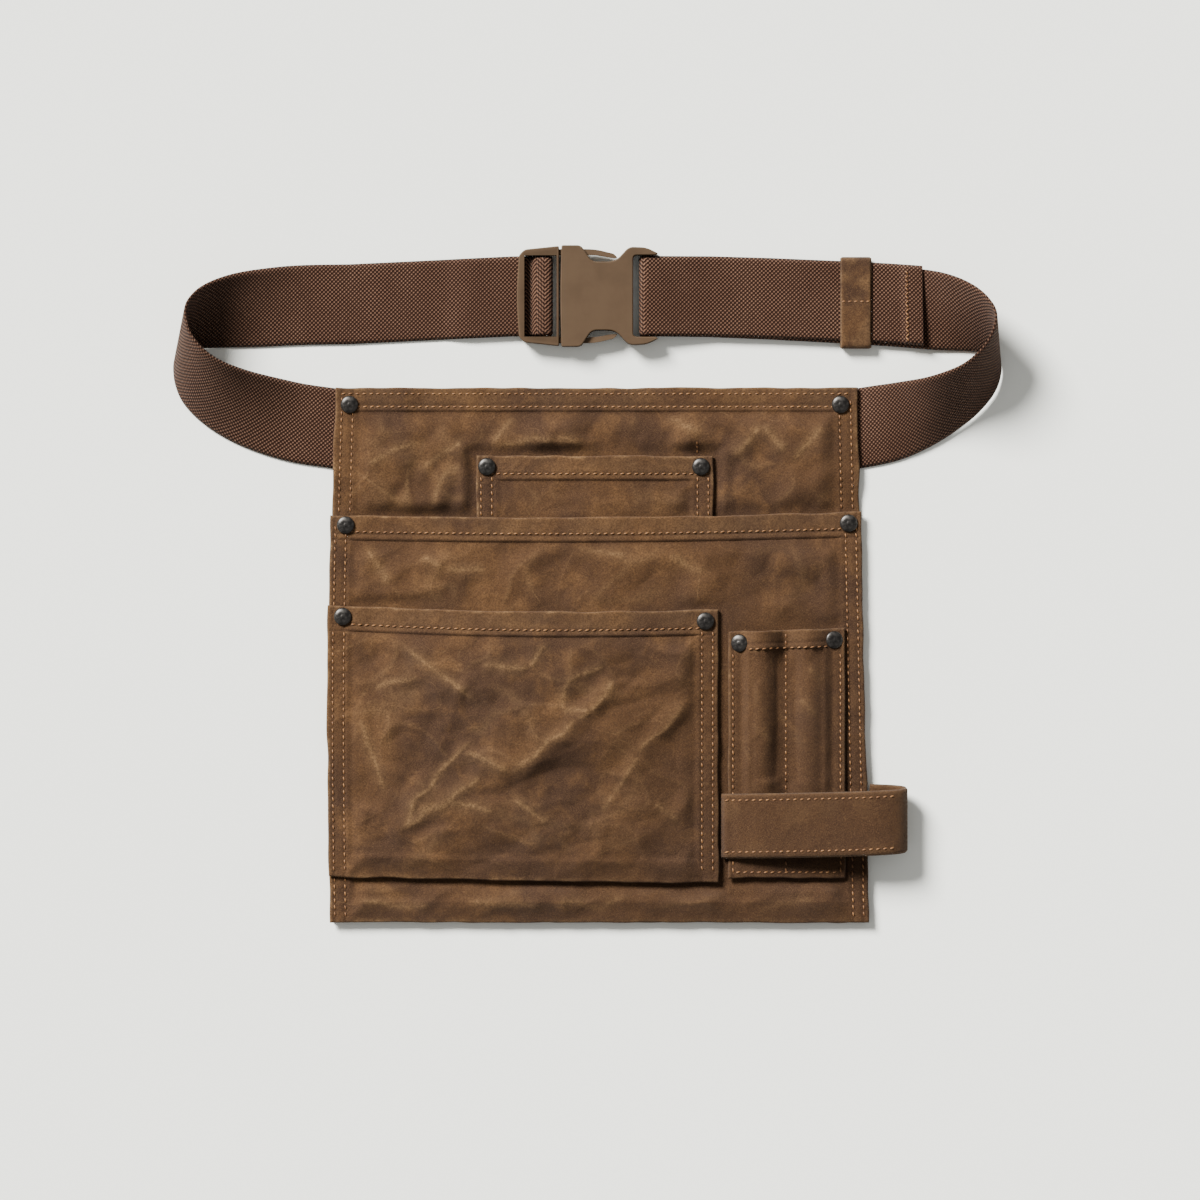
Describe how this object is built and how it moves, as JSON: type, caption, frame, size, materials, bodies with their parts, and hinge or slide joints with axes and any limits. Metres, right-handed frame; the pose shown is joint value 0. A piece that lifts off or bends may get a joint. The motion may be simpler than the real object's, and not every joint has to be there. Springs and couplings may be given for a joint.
{
  "type": "tool apron",
  "caption": "Waist tool apron of waxed canvas with layered open pockets, a hammer loop and a webbing belt closed by a side-release buckle.",
  "frame": {"origin": "middle of the back panel's underside, on the surface the apron lies on", "axes": "+X to the viewer's right across the apron, +Y up towards the waist belt, +Z out of the apron's front"},
  "size_m": [0.5182, 0.423, 0.0405],
  "materials": {
    "canvas": "waxed cotton canvas, worn pale along its creases",
    "webbing": "heavy woven webbing, matt",
    "buckle": "moulded, softly matt",
    "rivets": "dark gunmetal, semi-matt"
  },
  "bodies": {
    "root": {"back_panel": "canvas", "wide_pocket": "canvas", "upper_pocket": "canvas", "large_pocket": "canvas", "pencil_pocket": "canvas", "hammer_loop": "canvas", "keeper": "canvas", "belt_left": "webbing", "belt_right": "webbing", "buckle_latch": "buckle", "buckle_socket": "buckle", "rivet_01": "rivets", "rivet_02": "rivets", "rivet_03": "rivets", "rivet_04": "rivets", "rivet_05": "rivets", "rivet_06": "rivets", "rivet_07": "rivets", "rivet_08": "rivets", "rivet_09": "rivets", "rivet_10": "rivets"}
  },
  "joints": []
}
